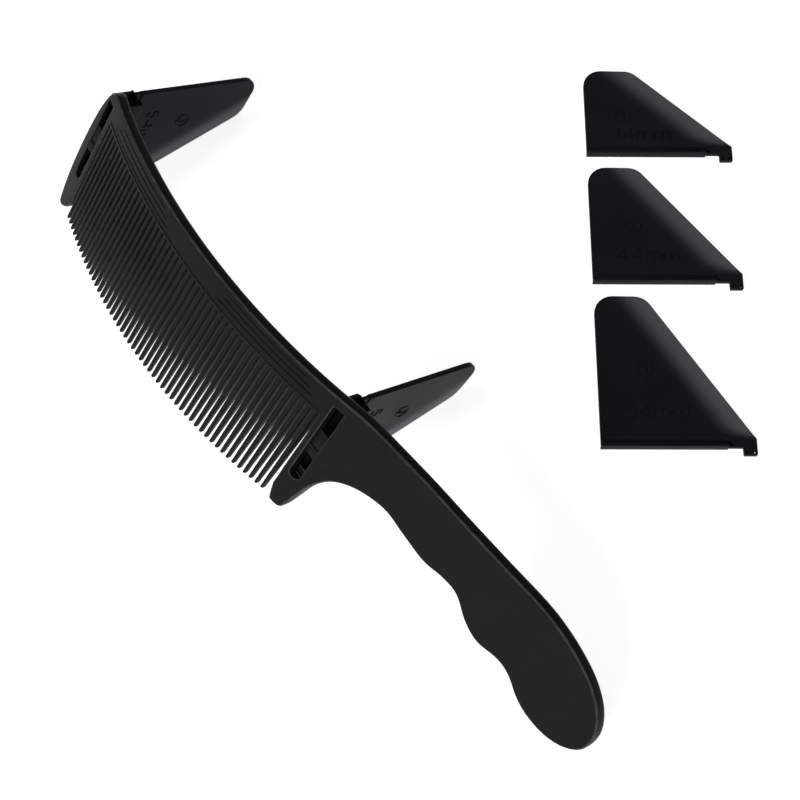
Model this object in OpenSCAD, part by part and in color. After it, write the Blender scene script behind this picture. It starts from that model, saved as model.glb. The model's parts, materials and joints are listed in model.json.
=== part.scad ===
// Clipper guard comb: a curved barber's comb with a scalloped handle and a T-slot rail at each end
// of the teeth. A spacer plate slides into each rail and holds the comb off the head, so that
// clippers run over its front face cut at a set length. Three spare plates lie beside it.
//
// Comb frame: +X along the comb from the middle of the two rails to the handle, +Y from the spine
// to the tooth tips, +Z from the front face to the head. y = 0 is the straight edge of a fitted
// plate and z = 0 is its base. stand_on_plates() turns that frame into the part's own, +Z up.

/* [Blade] */
// Distance between the two fitted plates
plate_span = 129; // [110:1:155]
// Radius of the blade's front face
blade_r = 195; // [170:1:300]
// Thickness of the blade and the handle
blade_t = 4.3; // [3.6:0.1:5.2]
// How far the spine stands past a fitted plate's straight edge
spine_overhang = 0.8; // [0.4:0.1:2]
// Width of one of the fine lines along the spine
line_w = 0.5; // [0.3:0.1:0.8]
// Depth of those lines
line_depth = 0.35; // [0.2:0.05:0.6]
// Distance between those lines
line_pitch = 2.1; // [1.4:0.1:2.2]
// Distance from the plate's straight edge to the first line
line_from = 1.2; // [0.8:0.1:2]
// Number of lines in a group
line_count = 3; // [1:1:3]
// Length of a group's longest line, which is the one next to the teeth
line_len = 44; // [20:1:50]
// How far each line falls short of the next one, at both ends
line_step = 2.3; // [0:0.1:4]
// Length of plain spine between the two groups
line_break = 27; // [10:1:40]

/* [Teeth] */
// Distance between teeth, along the front face
tooth_pitch = 2.43; // [2:0.01:3.2]
// Width of a tooth
tooth_w = 1.35; // [1:0.05:1.6]
// Thickness of a tooth at its tip
tooth_tip_t = 1.6; // [1.2:0.1:3]
// Where the teeth begin at the free end
root_far = 7.7; // [7:0.1:12]
// Where the teeth begin at the handle end
root_near = 9.3; // [7:0.1:12]
// How far the longest teeth reach
tip_reach = 51.3; // [42:0.1:56]
// Radius of the line through the tooth tips
tip_line_r = 1000; // [600:10:3000]
// Shift of that line's crest towards the free end
tip_crest = 9.5; // [0:0.5:20]

/* [Guards and rails] */
// Distance from a fitted plate to the guard's tooth-side edge
guard_in = 4; // [3.9:0.1:6]
// Width of the slot through a guard
slot_w = 4; // [3.7:0.1:4.8]
// Where the slot begins
slot_from = 3; // [2.5:0.1:6]
// Where the slot ends
slot_to = 36.4; // [30:0.1:38]
// Where the bridge across the slot begins
bridge_from = 15; // [12:0.1:18]
// Where the bridge ends
bridge_to = 25; // [21:0.1:27]
// Depth of the bridge below the front face
bridge_recess = 1.2; // [1:0.1:3]
// Thickness of a rail's side wall
rail_wall = 1.55; // [1.2:0.05:1.8]
// Height of a fitted plate's base above the blade's back
base_gap = 3.2; // [2.8:0.1:4]
// Where a rail begins
rail_from = 2.4; // [2:0.1:3]
// Clearance of a sliding plate's neck on each side
side_clear = 0.15; // [0.1:0.01:0.25]
// Clearance of its flange on each side
flange_clear = 0.3; // [0.1:0.01:0.4]
// Clearance of a sliding plate above and below
slide_clear = 0.1; // [0.06:0.01:0.2]
// Clearance at a sliding plate's end stop
stop_clear = 0.1; // [0.05:0.01:0.5]
// Clearance of its foot above the guard
foot_clear = 0.25; // [0.1:0.01:0.4]

/* [Spacer plates] */
// Height of the two fitted plates
fitted_h = 54; // [44:1:65]
// Height of each loose plate
loose_h = [34, 44, 54]; // [34:1:65]
// Length of a plate's base
plate_base = 50; // [48:0.5:60]
// Length of a plate's top edge, before its corners are rounded
plate_top = 16.7; // [15:0.1:24]
// Radius of the two top corners
corner_r = 6.2; // [3:0.1:7]
// Height of the short upright edge at the toe
toe_h = 3; // [2.8:0.1:5]
// Thickness of a plate
plate_t = 1.8; // [1.6:0.1:2.2]
// Thickness of the neck that runs between the rail's lips
neck_t = 1.2; // [0.8:0.1:1.3]
// Height of the neck
neck_h = 1.7; // [1.5:0.1:2]
// Height of the flange under the neck
flange_h = 1.3; // [1:0.1:1.5]
// Length of the neck and flange
groove_len = 41; // [39:0.5:43]
// Radius of the corner where the neck ends
groove_r = 1.5; // [0.8:0.1:2.5]
// Where the foot begins
foot_from = 45.5; // [45:0.5:47]

/* [Handle] */
// Length of the handle from the near fitted plate
handle_len = 117.2; // [112:0.1:150]
// Slope of the handle against the line between the plates, in degrees
handle_slope = 11.5; // [6:0.5:16]
// Radius of the bend between blade and handle
bend_r = 60; // [40:1:90]
// Distance from the near plate to the start of the bend
bend_from = 3.3; // [2:0.1:6]

/* [Loose plates] */
// Place of the first loose plate's corner along the comb
loose_x = 18.5; // [0:0.5:40]
// Place of that corner behind the comb
loose_y = 124.5; // [115:0.5:160]
// Direction of the loose plates' bases, in degrees
loose_turn = 55.1; // [40:0.1:70]
// Gap between one loose plate and the next
loose_gap = 5; // [4:0.5:12]

/* [Hidden] */
$fn = 64;
cut = 1;                 // how far a cutting shape runs past the face that it cuts
arc_steps = 30;          // straight pieces along the blade's arc
bend_steps = 6;          // straight pieces along the bend
curve_steps = 6;         // straight pieces between two points of a curved outline
black = "#1b1b1e";
plate_black = "#1d1d24";

// Blade: its front face is an arc about an axis along Y
half_span = plate_span / 2;
plate_slope = asin(half_span / blade_r);
face_depth = base_gap + blade_t / cos(plate_slope);
axis_z = sqrt(blade_r * blade_r - half_span * half_span) - face_depth;
tooth_step = tooth_pitch / blade_r * 180 / PI;
bay_edge = half_span - guard_in;
tooth_count = floor(2 * asin(bay_edge / blade_r) / tooth_step);
tooth_root_depth = 1;    // how far a tooth is buried in the spine
tooth_sunk = 0.05;       // how far a tooth's front and back lie inside the spine's
bend_angle = asin((half_span + bend_from) / blade_r);

// Rails: the flange slides in the chamber, and the neck between the lips
chamber_top = flange_h + slide_clear;
lip_top = flange_h + neck_h - slide_clear;
rail_w = slot_w + 2 * rail_wall;
rail_to = groove_len - groove_r - stop_clear;
rail_sunk = base_gap + blade_t / 2;    // a rail is buried to the middle of the blade
stop_y = foot_from - stop_clear;
stop_wall = 0.6;
stop_w = slot_w + 2 * stop_wall;
flange_w = slot_w - 2 * flange_clear;
foot_drop = base_gap - plate_t / 2 * tan(plate_slope) - foot_clear;

// Plates: a fitted comb stands on the sloping edges of its two plates
stand_angle = atan2(plate_base - plate_top, fitted_h - toe_h);
stand_height = plate_top * cos(stand_angle) + fitted_h * sin(stand_angle);

// Outline of the free end: x from the far plate's middle, y from its straight edge
far_outline = [[6.5, -spine_overhang], [1, -spine_overhang], [-2, 1.2], [-3.9, 5.8], [-5.3, 12], [-6.1, 22],
               [-6.1, 32], [-5.3, 42], [-3.7, 50.2], [-2.5, 51.6], [-0.9, 51.4], [1.9, 49.2],
               [4.1, 45.6], [guard_in, 41]];
far_reach = 6.1;         // how far the free end reaches past its plate
// Near guard's tip and the neck: x from the near plate's middle
near_outline = [[-guard_in, 43.7], [-2.6, 49.2], [-1.4, 50.3], [1.4, 50.3], [2.6, 48.2], [4, 42],
                [5.9, 34.5], [10.1, 27.2], [17.5, 22], [27.5, 19.5]];
// Finger scallops and butt: x back from the handle's end
grip_outline = [[80.7, 21.2], [71.1, 23], [63.2, 22.1], [57.2, 23], [50.2, 28.2], [43.7, 30.6],
                [36.1, 29.6], [30.7, 30.9], [24.4, 35.1], [18.2, 37.4], [10.5, 37.7], [4.2, 35.2],
                [0.5, 30.2], [0.9, 22.8], [5, 15.6], [11.6, 9.9], [19.4, 6], [28.4, 3.1],
                [37.8, 1.6], [53, 1.1], [69, 0.4], [85, -0.5], [101, -spine_overhang]];

// Middle of the part's outline, which is the part's own origin
tip_low_z = axis_z - blade_r;
mid_x = (handle_len - far_reach) / 2;
low_y = tip_low_z * cos(stand_angle) - tip_reach * sin(stand_angle);
high_y = loose_y + plate_base * sin(loose_turn) + toe_h * cos(loose_turn);
mid_y = (low_y + high_y) / 2;

// A point of a curve through the points p, between p[i] and p[i + 1]
function curve_point(p, i, t) =
    let (a = p[max(i - 1, 0)], b = p[i], c = p[i + 1], d = p[min(i + 2, len(p) - 1)])
    0.5 * (2 * b + (c - a) * t + (2 * a - 5 * b + 4 * c - d) * t * t
           + (3 * b - a - 3 * c + d) * t * t * t);
function curve(p) = [for (i = [0 : len(p) - 2], k = [0 : curve_steps - 1])
                         curve_point(p, i, k / curve_steps), p[len(p) - 1]];
function shifted(p, x) = [for (q = p) [q[0] + x, q[1]]];
function reversed(p) = [for (i = [len(p) - 1 : -1 : 0]) p[i]];
function mirrored_from(p, x) = [for (q = p) [x - q[0], q[1]]];

past_trim = 3;           // how far the strip runs past the outline that trims it
blade_from = -asin((half_span + far_reach + past_trim) / blade_r);

// The front face from the free end to the handle's end, as [x, z, slope]
bend_start = [blade_r * sin(bend_angle), axis_z - blade_r * cos(bend_angle)];
bend_axis = bend_start + bend_r * [sin(bend_angle), -cos(bend_angle)];
straight_start = bend_axis - bend_r * [sin(handle_slope), -cos(handle_slope)];
straight_len = (half_span + handle_len + past_trim - straight_start[0]) / cos(handle_slope);
face = concat(
    [for (i = [0 : arc_steps]) let (a = blade_from + (bend_angle - blade_from) * i / arc_steps)
         [blade_r * sin(a), axis_z - blade_r * cos(a), a]],
    [for (i = [1 : bend_steps]) let (a = bend_angle + (handle_slope - bend_angle) * i / bend_steps)
         [bend_axis[0] - bend_r * sin(a), bend_axis[1] + bend_r * cos(a), a]],
    [[straight_start[0] + straight_len * cos(handle_slope),
      straight_start[1] + straight_len * sin(handle_slope), handle_slope]]);
front_line = [for (p = face) [p[0], p[1]]];
back_line = [for (p = face) [p[0] - blade_t * sin(p[2]), p[1] + blade_t * cos(p[2])]];

// Turns the comb's frame into the part's own: standing on the two fitted plates
module stand_on_plates() {
    translate([-mid_x, -mid_y, stand_height])
        rotate([-(90 + stand_angle), 0, 0])
            children();
}

// Puts a shape on the blade's front face, at an angle along its arc
module on_blade(angle) {
    translate([0, 0, axis_z])
        rotate([0, -angle, 0])
            translate([0, 0, -blade_r])
                children();
}

// Spine, guards and handle as one curved strip trimmed to its outline
module strip() {
    guard_far = curve(shifted(far_outline, -half_span));
    handle = curve(concat(shifted(near_outline, half_span),
                          mirrored_from(grip_outline, half_span + handle_len)));
    outline = concat(guard_far, [[-bay_edge, root_far], [bay_edge, root_near]], handle);
    intersection() {
        translate([0, tip_reach + past_trim, 0])
            rotate([90, 0, 0])
                linear_extrude(tip_reach + 2 * past_trim)
                    polygon(concat(front_line, reversed(back_line)));
        translate([0, 0, axis_z - blade_r - cut])
            linear_extrude(2 * blade_r)
                polygon(outline);
    }
}

// A tooth's side view carried across: level in front, thinner behind towards its tip
module tooth_depth(root, tip) {
    rotate([90, 0, 90])
        linear_extrude(4 * tooth_w, center = true)
            polygon([[root - tooth_root_depth, tooth_sunk], [tip, tooth_sunk], [tip, tooth_tip_t],
                     [root, blade_t - tooth_sunk],
                     [root - tooth_root_depth, blade_t - tooth_sunk]]);
}

// A tooth's front view, with its rounded tip
module tooth_plan(root, tip) {
    translate([-tooth_w / 2, root - tooth_root_depth])
        square([tooth_w, tip - tooth_w / 2 - root + tooth_root_depth]);
    translate([0, tip - tooth_w / 2])
        circle(d = tooth_w);
}

// The teeth: each faces away from the blade's axis, and all their sides run along Z
module teeth() {
    for (i = [0 : tooth_count - 1]) {
        angle = (i - (tooth_count - 1) / 2) * tooth_step;
        x = blade_r * sin(angle);
        root = root_far + (root_near - root_far) * (x + bay_edge) / (2 * bay_edge);
        from_crest = x + tip_crest;
        tip = tip_reach - tip_line_r + sqrt(tip_line_r * tip_line_r - from_crest * from_crest);
        intersection() {
            on_blade(angle)
                tooth_depth(root, tip);
            translate([x, 0, axis_z - blade_r - cut])
                linear_extrude(blade_r)
                    tooth_plan(root, tip);
        }
    }
}

// The rail behind a guard, before its T-slot is cut
module rail() {
    translate([-rail_w / 2, rail_from, -rail_sunk])
        cube([rail_w, rail_to - rail_from, rail_sunk + lip_top]);
    translate([-stop_w / 2, rail_from, -rail_sunk])
        cube([stop_w, stop_y - rail_from, rail_sunk - slide_clear]);
}

// T-slot for a plate's flange and neck, and the slot in the guard's front with its bridge
module rail_slots() {
    slot_depth = 2 * face_depth;
    run = stop_y + rail_from + 2 * cut;
    translate([-slot_w / 2, rail_from - cut, -slide_clear])
        cube([slot_w, run, chamber_top + slide_clear]);
    translate([-neck_t / 2 - side_clear, rail_from - cut, 0])
        cube([neck_t + 2 * side_clear, run, lip_top + cut]);
    translate([-slot_w / 2, slot_from, -slot_depth])
        cube([slot_w, bridge_from - slot_from, slot_depth]);
    translate([-slot_w / 2, bridge_to, -slot_depth])
        cube([slot_w, slot_to - slot_w / 2 - bridge_to, slot_depth]);
    translate([0, slot_to - slot_w / 2, -slot_depth])
        cylinder(d = slot_w, h = slot_depth);
    translate([-slot_w / 2, slot_from, -slot_depth])
        cube([slot_w, bridge_to - slot_from, slot_depth - face_depth + bridge_recess]);
}

// Fine lines along the spine, in a group on each side of the middle
module spine_lines() {
    middle = (line_break + line_len) / blade_r * 90 / PI;
    for (side = [-1, 1], k = [0 : line_count - 1]) {
        len = line_len - 2 * line_step * (line_count - 1 - k);
        turn = len / blade_r * 180 / PI;
        translate([0, line_from + k * line_pitch, axis_z])
            rotate([-90, 0, 0])
                rotate([0, 0, 90 - side * middle - turn / 2])
                    rotate_extrude(angle = turn, $fn = 360)
                        translate([blade_r - line_depth, -line_w / 2])
                            square([line_depth + cut, line_w]);
    }
}

module comb_body() {
    color(black)
        stand_on_plates()
            difference() {
                union() {
                    strip();
                    teeth();
                    for (x = [-half_span, half_span])
                        translate([x, 0, 0])
                            rail();
                }
                for (x = [-half_span, half_span])
                    translate([x, 0, 0])
                        rail_slots();
                spine_lines();
            }
}

// Outline of a plate above its base: x along the base, y up, both top corners rounded
module plate_outline(h) {
    slope = atan2(h - toe_h, plate_base - plate_top);
    set_back = corner_r * tan(slope / 2);
    polygon([[0, 0], [plate_base, 0], [plate_base, toe_h],
             [plate_top + set_back * cos(slope), h - set_back * sin(slope)],
             [plate_top - set_back, h], [corner_r, h], [0, h - corner_r]]);
    translate([corner_r, h - corner_r])
        circle(corner_r);
    translate([plate_top - set_back, h - corner_r])
        circle(corner_r);
}

// A spacer plate in its own frame: x along its base, y up from its base, z across it
module spacer_plate(h) {
    neck_top = flange_h + neck_h;
    linear_extrude(plate_t, center = true)
        difference() {
            plate_outline(h);
            translate([-cut, -cut])
                square([groove_len - groove_r + cut, neck_top + cut]);
            translate([-cut, -cut])
                square([groove_len + cut, neck_top - groove_r + cut]);
            translate([groove_len - groove_r, neck_top - groove_r])
                circle(groove_r);
        }
    linear_extrude(neck_t, center = true)
        square([groove_len + cut, neck_top + cut]);
    linear_extrude(flange_w, center = true)
        square([groove_len, flange_h]);
    translate([foot_from, -foot_drop, -plate_t / 2])
        cube([plate_base - foot_from, foot_drop + cut, plate_t]);
}

// A plate fitted in the rail at x
module fitted_plate(x) {
    color(plate_black)
        stand_on_plates()
            translate([x, 0, 0])
                rotate([90, 0, 90])
                    spacer_plate(fitted_h);
}

// A plate lying on the table: its flange and its top edge touch it
module loose_plate(i) {
    h = loose_h[i];
    tilt = atan2((flange_w - plate_t) / 2, h - flange_h);
    // distance from the first plate's base to this one's, down the row
    row = [0, loose_gap + loose_h[1], 2 * loose_gap + loose_h[1] + loose_h[2]][i];
    color(plate_black)
        translate([loose_x - mid_x, loose_y - mid_y, 0])
            rotate([0, 0, loose_turn])
                translate([0, flange_h - row, 0])
                    rotate([-tilt, 0, 0])
                        translate([0, -flange_h, flange_w / 2])
                            spacer_plate(h);
}

module far_guard_plate() { fitted_plate(-half_span); }
module near_guard_plate() { fitted_plate(half_span); }
module loose_plate_34() { loose_plate(0); }
module loose_plate_44() { loose_plate(1); }
module loose_plate_54() { loose_plate(2); }

comb_body();
far_guard_plate();
near_guard_plate();
loose_plate_34();
loose_plate_44();
loose_plate_54();
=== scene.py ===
"""Clipper guard comb in moulded black plastic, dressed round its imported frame.

Sizes are in millimetres and in the comb's own axes, as the part's source has them: +X along the
comb from the middle of its two rails to the handle, +Y from the spine to the tooth tips, and +Z
from the front face to the head. CombAxes turns them into the frame's metres.
"""
import json
import logging
import math
from collections.abc import Callable, Sequence
from dataclasses import dataclass, field
from enum import Enum

import bmesh
import bpy
import numpy as np
from mathutils import Matrix, Vector
from mathutils.geometry import delaunay_2d_cdt


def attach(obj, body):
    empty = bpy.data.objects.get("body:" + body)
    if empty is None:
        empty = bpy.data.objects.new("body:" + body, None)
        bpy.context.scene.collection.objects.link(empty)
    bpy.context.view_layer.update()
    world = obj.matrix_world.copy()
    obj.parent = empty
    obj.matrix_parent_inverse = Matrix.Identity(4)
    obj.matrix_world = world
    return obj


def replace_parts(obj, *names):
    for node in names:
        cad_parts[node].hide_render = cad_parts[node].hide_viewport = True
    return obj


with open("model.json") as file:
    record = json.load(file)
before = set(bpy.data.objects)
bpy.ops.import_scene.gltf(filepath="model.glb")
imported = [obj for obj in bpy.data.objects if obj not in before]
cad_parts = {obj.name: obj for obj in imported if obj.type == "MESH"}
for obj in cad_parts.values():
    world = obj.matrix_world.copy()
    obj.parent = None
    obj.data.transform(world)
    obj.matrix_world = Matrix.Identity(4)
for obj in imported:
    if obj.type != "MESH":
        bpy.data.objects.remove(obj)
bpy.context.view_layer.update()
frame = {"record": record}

MM = 0.001
LOG = logging.getLogger("clipper_guard_comb")
Place = Callable[[np.ndarray, np.ndarray, np.ndarray], np.ndarray]


# ---------------------------------------------------------------- outlines


def smooth_curve(points: Sequence[Sequence[float]], steps: int = 6) -> np.ndarray:
    """Carries a Catmull-Rom curve through points, in steps pieces between each two of them.

    Args:
        points: the control points, (x, y).
        steps: pieces between two control points.

    Returns:
        An array (n, 2) that starts and ends on the first and last control point.
    """
    p = np.asarray(points, float)
    p = np.vstack([p[:1], p, p[-1:]])
    a, b, c, d = (p[i:len(p) - 3 + i, None] for i in range(4))
    t = (np.arange(steps) / steps)[None, :, None]
    row = 0.5 * (2 * b + (c - a) * t + (2 * a - 5 * b + 4 * c - d) * t ** 2
                 + (3 * b - a - 3 * c + d) * t ** 3)
    return np.vstack([row.reshape(-1, 2), p[-1:]])


def rounded(points: Sequence[Sequence[float]], radii: float | Sequence[float], steps: int = 4) -> np.ndarray:
    """Rounds each corner of a polygon with an arc that is tangent to both its sides.

    The arc is a rational curve of second degree: its middle weight is the sine of half the
    corner's angle, and it begins r / tan(half the angle) from the corner.

    Args:
        points: the corners, (x, y).
        radii: the arcs' radii, for all corners or one by one.
        steps: pieces in each arc.

    Returns:
        The rounded loop as an array (n, 2).
    """
    p = np.asarray(points, float)
    before, after = np.roll(p, 1, 0) - p, np.roll(p, -1, 0) - p
    before = before / np.linalg.norm(before, axis=1, keepdims=True)
    after = after / np.linalg.norm(after, axis=1, keepdims=True)
    half = np.arccos(np.clip(np.sum(before * after, 1), -1, 1)) / 2
    reach = (np.broadcast_to(np.asarray(radii, float), len(p)) / np.tan(half))[:, None]
    start, end, weight = p + before * reach, p + after * reach, np.sin(half)[:, None, None]
    t = np.linspace(0, 1, steps + 1)[None, :, None]
    b0, b1, b2 = (1 - t) ** 2, 2 * t * (1 - t) * weight, t ** 2
    loop = (b0 * start[:, None] + b1 * p[:, None] + b2 * end[:, None]) / (b0 + b1 + b2)
    loop = loop.reshape(-1, 2)
    return loop[np.linalg.norm(loop - np.roll(loop, 1, 0), axis=1) > 1e-6]


def resampled(loop: np.ndarray, spacing: float) -> np.ndarray:
    """Adds points to a closed loop, so that no side is longer than spacing, and keeps its own."""
    ahead = np.roll(loop, -1, 0)
    count = np.maximum(1, np.ceil(np.linalg.norm(ahead - loop, axis=1) / spacing)).astype(int)
    side = np.repeat(np.arange(len(loop)), count)
    step = np.arange(count.sum()) - np.repeat(np.cumsum(count) - count, count)
    return loop[side] + (ahead - loop)[side] * (step / count[side])[:, None]


def anticlockwise(loop: np.ndarray) -> np.ndarray:
    """Turns a loop so that it runs anticlockwise, by the sign of its area."""
    x, y = loop.T
    area = np.sum(x * np.roll(y, -1) - y * np.roll(x, -1))
    return loop if area > 0 else loop[::-1]


def outward(loop: np.ndarray) -> np.ndarray:
    """Gives each corner of an anticlockwise loop the mitred step that moves both sides out by 1."""
    ahead = np.roll(loop, -1, 0) - loop
    ahead = ahead / np.linalg.norm(ahead, axis=1, keepdims=True)
    after = np.stack([ahead[:, 1], -ahead[:, 0]], 1)
    before = np.roll(after, 1, 0)
    return (before + after) / np.maximum(0.4, 1 + np.sum(before * after, 1))[:, None]


def inside(points: np.ndarray, loop: np.ndarray) -> np.ndarray:
    """Says which points lie inside a loop, by counting the sides that a ray crosses."""
    x, y = points[:, 0, None], points[:, 1, None]
    ax, ay = loop.T
    bx, by = np.roll(loop, -1, 0).T
    spans = (ay <= y) != (by <= y)
    cross = ax + (y - ay) / np.where(by == ay, 1, by - ay) * (bx - ax)
    return np.sum(spans & (x < cross), 1) % 2 == 1


# ---------------------------------------------------------------- surfaces


@dataclass
class Shell:
    """A closed surface: points in the comb's axes, faces, and an edge value for each point.

    The value is 1 on a rounded edge, 0 on a plain face, and down to -1 where a face is lowered.
    """

    points: np.ndarray
    faces: list[Sequence[int]]
    edge: np.ndarray

    @staticmethod
    def joined(shells: Sequence["Shell"]) -> "Shell":
        """Puts several shells into one, each still closed by itself."""
        start = np.cumsum([0] + [len(s.points) for s in shells[:-1]])
        faces = [tuple(int(i) + int(k) for i in f) for s, k in zip(shells, start) for f in s.faces]
        return Shell(np.vstack([s.points for s in shells]), faces,
                     np.concatenate([s.edge for s in shells]))

    def moved(self, place: Place) -> "Shell":
        """Sends its points through a placing function of x, y and z."""
        return Shell(place(*self.points.T), self.faces, self.edge)


def grid_faces(rows: int, columns: int, closed: bool = True) -> np.ndarray:
    """Numbers the four corners of every cell of a grid of points.

    Args:
        rows: rows of points.
        columns: points in a row.
        closed: whether the last point of a row joins the first.

    Returns:
        An array (cells, 4) of point numbers.
    """
    r, c = np.meshgrid(np.arange(rows - 1), np.arange(columns if closed else columns - 1), indexing="ij")
    n = (c + 1) % columns
    low, high = r * columns, (r + 1) * columns
    return np.stack([low + c, low + n, high + n, high + c], -1).reshape(-1, 4)


def filled(loop: np.ndarray, holes: Sequence[np.ndarray], extra: np.ndarray,
           lines: Sequence[np.ndarray], spacing: float) -> tuple[np.ndarray, np.ndarray]:
    """Fills a loop with triangles over a square grid of points, leaving its holes open.

    Args:
        loop: the outer edge.
        holes: the holes' edges.
        extra: more points that the triangles keep, which the lines may run along.
        lines: rows of numbers into extra, each kept as a chain of sides.
        spacing: distance between the grid's points.

    Returns:
        All points (loop, holes, extra and grid, in that order) and the triangles.
    """
    rings = [loop, *holes]
    border = np.vstack(rings)
    low, high = loop.min(0), loop.max(0)
    x, y = np.meshgrid(np.arange(low[0] + spacing / 3, high[0], spacing),
                       np.arange(low[1] + spacing / 3, high[1], spacing))
    grid = np.stack([x.ravel(), y.ravel()], 1)
    grid = grid[inside(grid, loop)]
    for hole in holes:
        grid = grid[~inside(grid, hole)]
    near = np.vstack([border, extra]) if len(extra) else border
    gap = np.min(np.linalg.norm(grid[:, None] - near[None], axis=2), 1) if len(grid) else np.zeros(0)
    grid = grid[gap > spacing / 2.5]
    points = np.vstack([border, extra.reshape(-1, 2), grid])
    start = np.cumsum([0] + [len(r) for r in rings])
    sides = [(int(a + i), int(a + (i + 1) % (b - a))) for a, b in zip(start[:-1], start[1:])
             for i in range(b - a)]
    sides += [(int(start[-1] + a), int(start[-1] + b)) for row in lines for a, b in zip(row[:-1], row[1:])]
    made = delaunay_2d_cdt([Vector(p) for p in points], sides, [], 0, 1e-7)
    own = np.array([source[0] if source else 0 for source in made[3]])
    triangles = own[np.array([face for face in made[2]])]
    corner = points[triangles]
    side = np.linalg.norm(corner - np.roll(corner, 1, 1), axis=2).max(1)
    across = corner[:, 1:] - corner[:, :1]
    area = np.abs(across[:, 0, 0] * across[:, 1, 1] - across[:, 0, 1] * across[:, 1, 0])
    middle = corner.mean(1)
    keep = inside(middle, loop) & (area > 1e-5 * side)
    for hole in holes:
        keep &= ~inside(middle, hole)
    return points, triangles[keep]


@dataclass
class MouldedPlate:
    """A flat moulded shape: an outline with rounded rims, its thickness, and holes through it.

    The rim is a grid of two parameters, along the outline and over the edge: at angle t of a
    quarter turn the front rim stands r (1 - sin t) in from the outline and r (1 - cos t) deep, and
    the back rim mirrors it. Both faces are triangles over a grid, and relief lowers the front one.
    """

    outline: np.ndarray
    thickness: float
    front_round: float
    back_round: float
    holes: Sequence[np.ndarray] = ()
    hole_round: float = 0.3
    spacing: float = 2.5
    support: float = 0.35
    rim_steps: int = 4
    shared_gap: float = 0.42
    extra: np.ndarray = field(default_factory=lambda: np.zeros((0, 2)))
    lines: Sequence[np.ndarray] = ()
    relief: Callable[[np.ndarray, np.ndarray], np.ndarray] | None = None

    def rim(self, front: float, back: float) -> np.ndarray:
        """Lists the rim's rings as rows of (step in, depth, nearness to an edge)."""
        t = np.linspace(0, math.pi / 2, self.rim_steps + 1)
        # Edge value over the rim, which the finish turns into a painted highlight along rounded edges
        highlight_and_wear = np.sin(2 * t)
        rows = [[front + self.support, 0, 0]]
        rows += np.stack([front * (1 - np.sin(t)), front * (1 - np.cos(t)), 0.25 + 0.75 * highlight_and_wear], 1).tolist()
        rows += np.stack([back * (1 - np.cos(t)), self.thickness - back * (1 - np.sin(t)),
                          0.25 + 0.75 * highlight_and_wear], 1).tolist()
        rows += [[back + self.support, self.thickness, 0]]
        return np.array(rows)

    def wall(self, loop: np.ndarray, others: Sequence[np.ndarray], front: float, back: float,
             side: float) -> tuple[np.ndarray, np.ndarray]:
        """Carries a loop over the rim, in smaller steps where another loop runs close by.

        Args:
            loop: the outline or a hole, anticlockwise.
            others: the other loops of the plate.
            front: radius of the front rim.
            back: radius of the back rim.
            side: 1 steps into the loop, as the outline does, and -1 out of it, as a hole does.

        Returns:
            Points (rings, n, 3) as x, y and depth, and nearness to an edge (rings, n).
        """
        rings = self.rim(front, back)
        fit = np.ones(len(loop))
        if len(others):
            gap = np.min(np.linalg.norm(loop[:, None] - np.vstack(others)[None], axis=2), 1)
            fit = np.minimum(1, self.shared_gap * gap / (max(front, back) + self.support))
        flat = loop[None] - side * rings[:, 0, None, None] * (outward(loop) * fit[:, None])[None]
        depth = np.broadcast_to(rings[:, 1, None, None], (*flat.shape[:2], 1))
        return np.concatenate([flat, depth], 2), np.broadcast_to(rings[:, 2, None], flat.shape[:2])

    def shell(self, place: Place) -> Shell:
        """Builds the closed surface and places it.

        Args:
            place: gives a point of the comb's axes for x, y and depth behind the front face.

        Returns:
            The shell in the comb's axes.
        """
        loops = [anticlockwise(self.outline), *[anticlockwise(h) for h in self.holes]]
        walls = [self.wall(loop, [other for other in loops if other is not loop],
                           self.front_round if i == 0 else self.hole_round,
                           self.back_round if i == 0 else self.hole_round, 1 if i == 0 else -1)
                 for i, loop in enumerate(loops)]
        points, edge, faces, fronts, backs, start = [], [], [], [], [], 0
        for rings, highlight_and_wear in walls:
            rows, columns = rings.shape[:2]
            faces.append(grid_faces(rows, columns) + start)
            fronts.append(np.arange(columns) + start)
            backs.append(np.arange(columns) + start + (rows - 1) * columns)
            points.append(rings.reshape(-1, 3))
            edge.append(highlight_and_wear.ravel())
            start += rows * columns
        for numbers, end, depth in ((fronts, 0, 0.0), (backs, -1, self.thickness)):
            rings = [w[0][end][:, :2] for w in walls]
            with_relief = end == 0
            flat, triangles = filled(rings[0], rings[1:], self.extra if with_relief else np.zeros((0, 2)),
                                     self.lines if with_relief else (), self.spacing)
            border = np.concatenate(numbers)
            inner = flat[len(border):]
            own = np.concatenate([border, np.arange(len(inner)) + start])
            points.append(np.column_stack([inner, np.full(len(inner), depth)]))
            edge.append(np.zeros(len(inner)))
            faces.append(own[triangles])
            start += len(inner)
        cloud, nearness = np.vstack(points), np.concatenate(edge)
        if self.relief is not None:
            share = np.clip(1 - 2 * cloud[:, 2] / self.thickness, 0, 1)
            drop = share * self.relief(cloud[:, 0], cloud[:, 1])
            cloud[:, 2] += drop
            # Lowered points get negative edge values; the finish paints them with its lowered colour: shade
            # in the comb's grooves, a light band over the plates' bevel.
            nearness = nearness - drop / max(1e-6, drop.max())
        return Shell(place(*cloud.T), [tuple(f) for block in faces for f in block.tolist()], nearness)


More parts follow.
